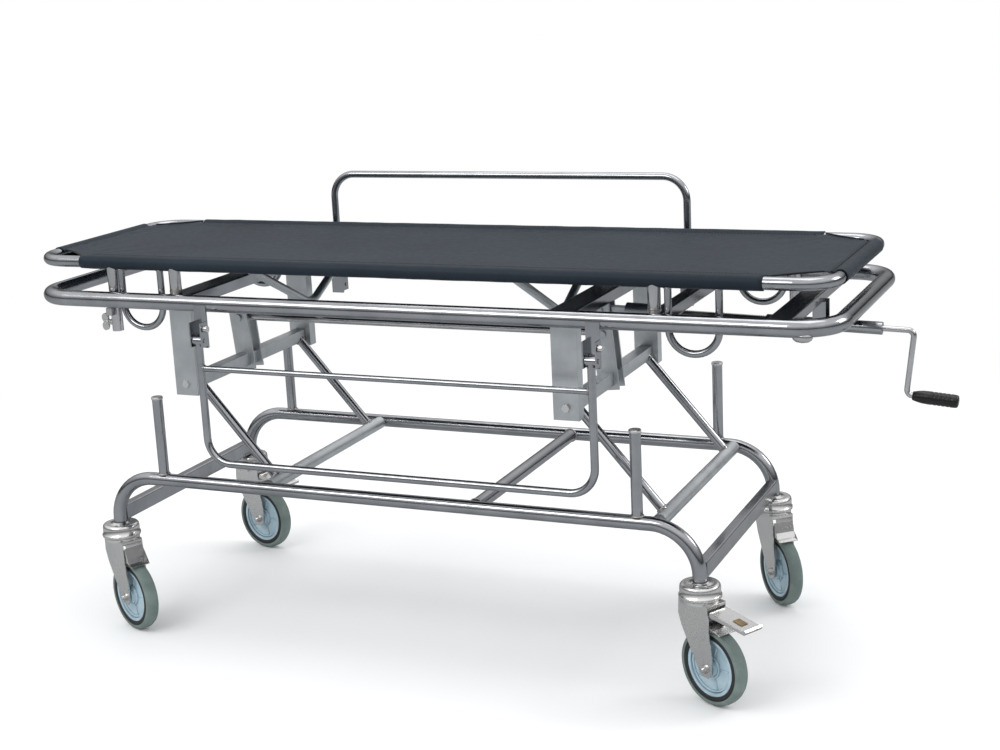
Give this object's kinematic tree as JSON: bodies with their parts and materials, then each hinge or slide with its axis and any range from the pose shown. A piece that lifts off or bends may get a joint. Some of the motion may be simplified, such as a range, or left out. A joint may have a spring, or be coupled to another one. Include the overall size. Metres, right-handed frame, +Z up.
{
  "type": "ambulance cot",
  "caption": "Hand-cranked hospital transport cot: parallelogram lift on castered base, detachable fabric litter with feet, swing-down guard rails and brake pedals",
  "frame": {"origin": "on the floor under the centre of the overall bounding box", "axes": "+X along the cot toward the crank end, +Y across the cot toward the raised guard rail, +Z up"},
  "size_m": [2.183, 0.7612, 1.052],
  "materials": {
    "polished_tube": "polished stainless tube",
    "bright_bar": "bright machined stainless",
    "satin_steel": "satin brushed stainless",
    "zinc_hardware": "bright zinc or chrome plate",
    "wheel_centre": "moulded nylon",
    "tyre": "non-marking rubber",
    "grip": "moulded black plastic",
    "fabric": "coated woven fabric"
  },
  "bodies": {
    "base": {"base_frame": "polished_tube", "post_caps": "zinc_hardware", "caster_housings": "zinc_hardware"},
    "link_left": {"link_left": "satin_steel", "link_arms_left": "polished_tube", "lever_left": "satin_steel"},
    "link_right": {"link_right": "satin_steel", "link_arms_right": "polished_tube", "lever_right": "satin_steel"},
    "carrier": {"carrier_frame": "polished_tube", "hanger_brackets": "satin_steel", "bracket_bolts": "zinc_hardware", "clamp_sockets": "bright_bar"},
    "tie_rod": {"tie_rod": "bright_bar"},
    "nut_tube": {"nut_tube": "satin_steel"},
    "screw_sleeve": {"screw_sleeve": "polished_tube"},
    "crank": {"lead_screw": "zinc_hardware", "crank_rod": "bright_bar"},
    "crank_grip": {"crank_grip": "grip"},
    "guard_rail_front": {"guard_rail_front": "polished_tube"},
    "guard_rail_back": {"guard_rail_back": "polished_tube"},
    "litter": {"litter_frame": "polished_tube", "litter_cross_members": "satin_steel", "litter_feet": "polished_tube", "standoff_posts": "bright_bar", "locating_dowels": "bright_bar", "deck_cover": "fabric"},
    "thumb_screw_front": {"thumb_screw_front": "zinc_hardware"},
    "thumb_screw_back": {"thumb_screw_back": "zinc_hardware"},
    "latch_front_left": {"latch_front_left": "zinc_hardware"},
    "latch_front_right": {"latch_front_right": "zinc_hardware"},
    "latch_back_left": {"latch_back_left": "zinc_hardware"},
    "latch_back_right": {"latch_back_right": "zinc_hardware"},
    "caster_front_left": {"fork_front_left": "zinc_hardware"},
    "wheel_front_left": {"wheel_front_left": "wheel_centre", "tyre_front_left": "tyre"},
    "caster_front_right": {"fork_front_right": "zinc_hardware"},
    "wheel_front_right": {"wheel_front_right": "wheel_centre", "tyre_front_right": "tyre"},
    "pedal_front_right": {"pedal_front_right": "zinc_hardware"},
    "caster_back_left": {"fork_back_left": "zinc_hardware"},
    "wheel_back_left": {"wheel_back_left": "wheel_centre", "tyre_back_left": "tyre"},
    "pedal_back_left": {"pedal_back_left": "zinc_hardware"},
    "caster_back_right": {"fork_back_right": "zinc_hardware"},
    "wheel_back_right": {"wheel_back_right": "wheel_centre", "tyre_back_right": "tyre"}
  },
  "joints": [
    {"name": "lift_fold", "type": "hinge", "parent": "base", "child": "link_left", "pos_m": [-0.45787, 0.0236, 0.388], "axis": [0, -1, 0], "range_deg": [0, 44.5]},
    {"name": "link_right_fold", "type": "hinge", "parent": "base", "child": "link_right", "pos_m": [0.51113, 0.0236, 0.388], "axis": [0, -1, 0], "range_deg": [0, 44.5]},
    {"name": "carrier_level", "type": "hinge", "parent": "link_left", "child": "carrier", "pos_m": [-0.66387, 0.0236, 0.626], "axis": [0, -1, 0], "range_deg": [-44.5, 0]},
    {"name": "tie_rod_level", "type": "hinge", "parent": "link_left", "child": "tie_rod", "pos_m": [-0.67389, 0.0236, 0.73002], "axis": [0, -1, 0], "range_deg": [-44.5, 0]},
    {"name": "nut_tube_swing", "type": "hinge", "parent": "link_right", "child": "nut_tube", "pos_m": [0.2898, 0.0236, 0.78526], "axis": [0, -1, 0], "range_deg": [-39.44, 0]},
    {"name": "screw_tilt", "type": "hinge", "parent": "carrier", "child": "screw_sleeve", "pos_m": [0.79713, 0.0236, 0.7705], "axis": [0, -1, 0], "range_deg": [0, 4.99]},
    {"name": "crank_spin", "type": "hinge", "parent": "screw_sleeve", "child": "crank", "pos_m": [0.79713, 0.0236, 0.7705], "axis": [0.9996, 0, -0.0291], "continuous": true},
    {"name": "grip_spin", "type": "hinge", "parent": "crank", "child": "crank_grip", "pos_m": [1.07671, 0.0236, 0.6143], "axis": [0.9968, 0, -0.0805], "continuous": true},
    {"name": "guard_front_swing", "type": "hinge", "parent": "carrier", "child": "guard_rail_front", "pos_m": [-0.09487, -0.3214, 0.7485], "axis": [-1, 0, 0], "range_deg": [0, 180]},
    {"name": "guard_back_swing", "type": "hinge", "parent": "carrier", "child": "guard_rail_back", "pos_m": [-0.09487, 0.3686, 0.7485], "axis": [-1, 0, 0], "range_deg": [0, 180]},
    {"name": "latch_front_left_pull", "type": "slide", "parent": "carrier", "child": "latch_front_left", "axis": [1, 0, 0], "range_m": [0, 0.008]},
    {"name": "latch_front_right_pull", "type": "slide", "parent": "carrier", "child": "latch_front_right", "axis": [1, 0, 0], "range_m": [0, 0.008]},
    {"name": "latch_back_left_pull", "type": "slide", "parent": "carrier", "child": "latch_back_left", "axis": [1, 0, 0], "range_m": [0, 0.008]},
    {"name": "latch_back_right_pull", "type": "slide", "parent": "carrier", "child": "latch_back_right", "axis": [1, 0, 0], "range_m": [0, 0.008]},
    {"name": "litter_lift_off", "type": "slide", "parent": "carrier", "child": "litter", "axis": [0, 0, 1], "range_m": [0, 0.1]},
    {"name": "thumb_front_turn", "type": "hinge", "parent": "carrier", "child": "thumb_screw_front", "pos_m": [-0.85387, -0.2498, 0.766], "axis": [-1, 0, 0], "range_deg": [0, 360]},
    {"name": "thumb_back_turn", "type": "hinge", "parent": "carrier", "child": "thumb_screw_back", "pos_m": [0.67113, 0.297, 0.766], "axis": [1, 0, 0], "range_deg": [0, 360]},
    {"name": "swivel_front_left", "type": "hinge", "parent": "base", "child": "caster_front_left", "pos_m": [-0.88047, -0.2844, 0.24], "axis": [0, 0, 1], "continuous": true},
    {"name": "wheel_spin_front_left", "type": "hinge", "parent": "caster_front_left", "child": "wheel_front_left", "pos_m": [-0.84603, -0.30046, 0.0875], "axis": [0.4226, 0.9063, 0], "continuous": true},
    {"name": "swivel_front_right", "type": "hinge", "parent": "base", "child": "caster_front_right", "pos_m": [0.60473, -0.2844, 0.24], "axis": [0, 0, 1], "continuous": true},
    {"name": "wheel_spin_front_right", "type": "hinge", "parent": "caster_front_right", "child": "wheel_front_right", "pos_m": [0.63828, -0.30224, 0.0875], "axis": [0.4695, 0.8829, 0], "continuous": true},
    {"name": "pedal_front_right_press", "type": "hinge", "parent": "caster_front_right", "child": "pedal_front_right", "pos_m": [0.64005, -0.30318, 0.207], "axis": [0.4695, 0.8829, 0], "range_deg": [0, 9]},
    {"name": "swivel_back_left", "type": "hinge", "parent": "base", "child": "caster_back_left", "pos_m": [-0.88047, 0.3316, 0.24], "axis": [0, 0, 1], "continuous": true},
    {"name": "wheel_spin_back_left", "type": "hinge", "parent": "caster_back_left", "child": "wheel_back_left", "pos_m": [-0.84376, 0.32177, 0.0875], "axis": [0.2588, 0.9659, 0], "continuous": true},
    {"name": "pedal_back_left_press", "type": "hinge", "parent": "caster_back_left", "child": "pedal_back_left", "pos_m": [-0.84183, 0.32125, 0.207], "axis": [0.2588, 0.9659, 0], "range_deg": [0, 9]},
    {"name": "swivel_back_right", "type": "hinge", "parent": "base", "child": "caster_back_right", "pos_m": [0.60473, 0.3316, 0.24], "axis": [0, 0, 1], "continuous": true},
    {"name": "wheel_spin_back_right", "type": "hinge", "parent": "caster_back_right", "child": "wheel_back_right", "pos_m": [0.63016, 0.30336, 0.0875], "axis": [0.7431, 0.6691, 0], "continuous": true}
  ],
  "couplings": [
    {"joint": "link_right_fold", "follows": "lift_fold", "ratio": 1},
    {"joint": "carrier_level", "follows": "lift_fold", "ratio": -1},
    {"joint": "tie_rod_level", "follows": "lift_fold", "ratio": -1},
    {"joint": "nut_tube_swing", "follows": "lift_fold", "ratio": -0.886},
    {"joint": "screw_tilt", "follows": "lift_fold", "ratio": 0.112},
    {"joint": "crank_spin", "follows": "lift_fold", "ratio": 175.43}
  ]
}
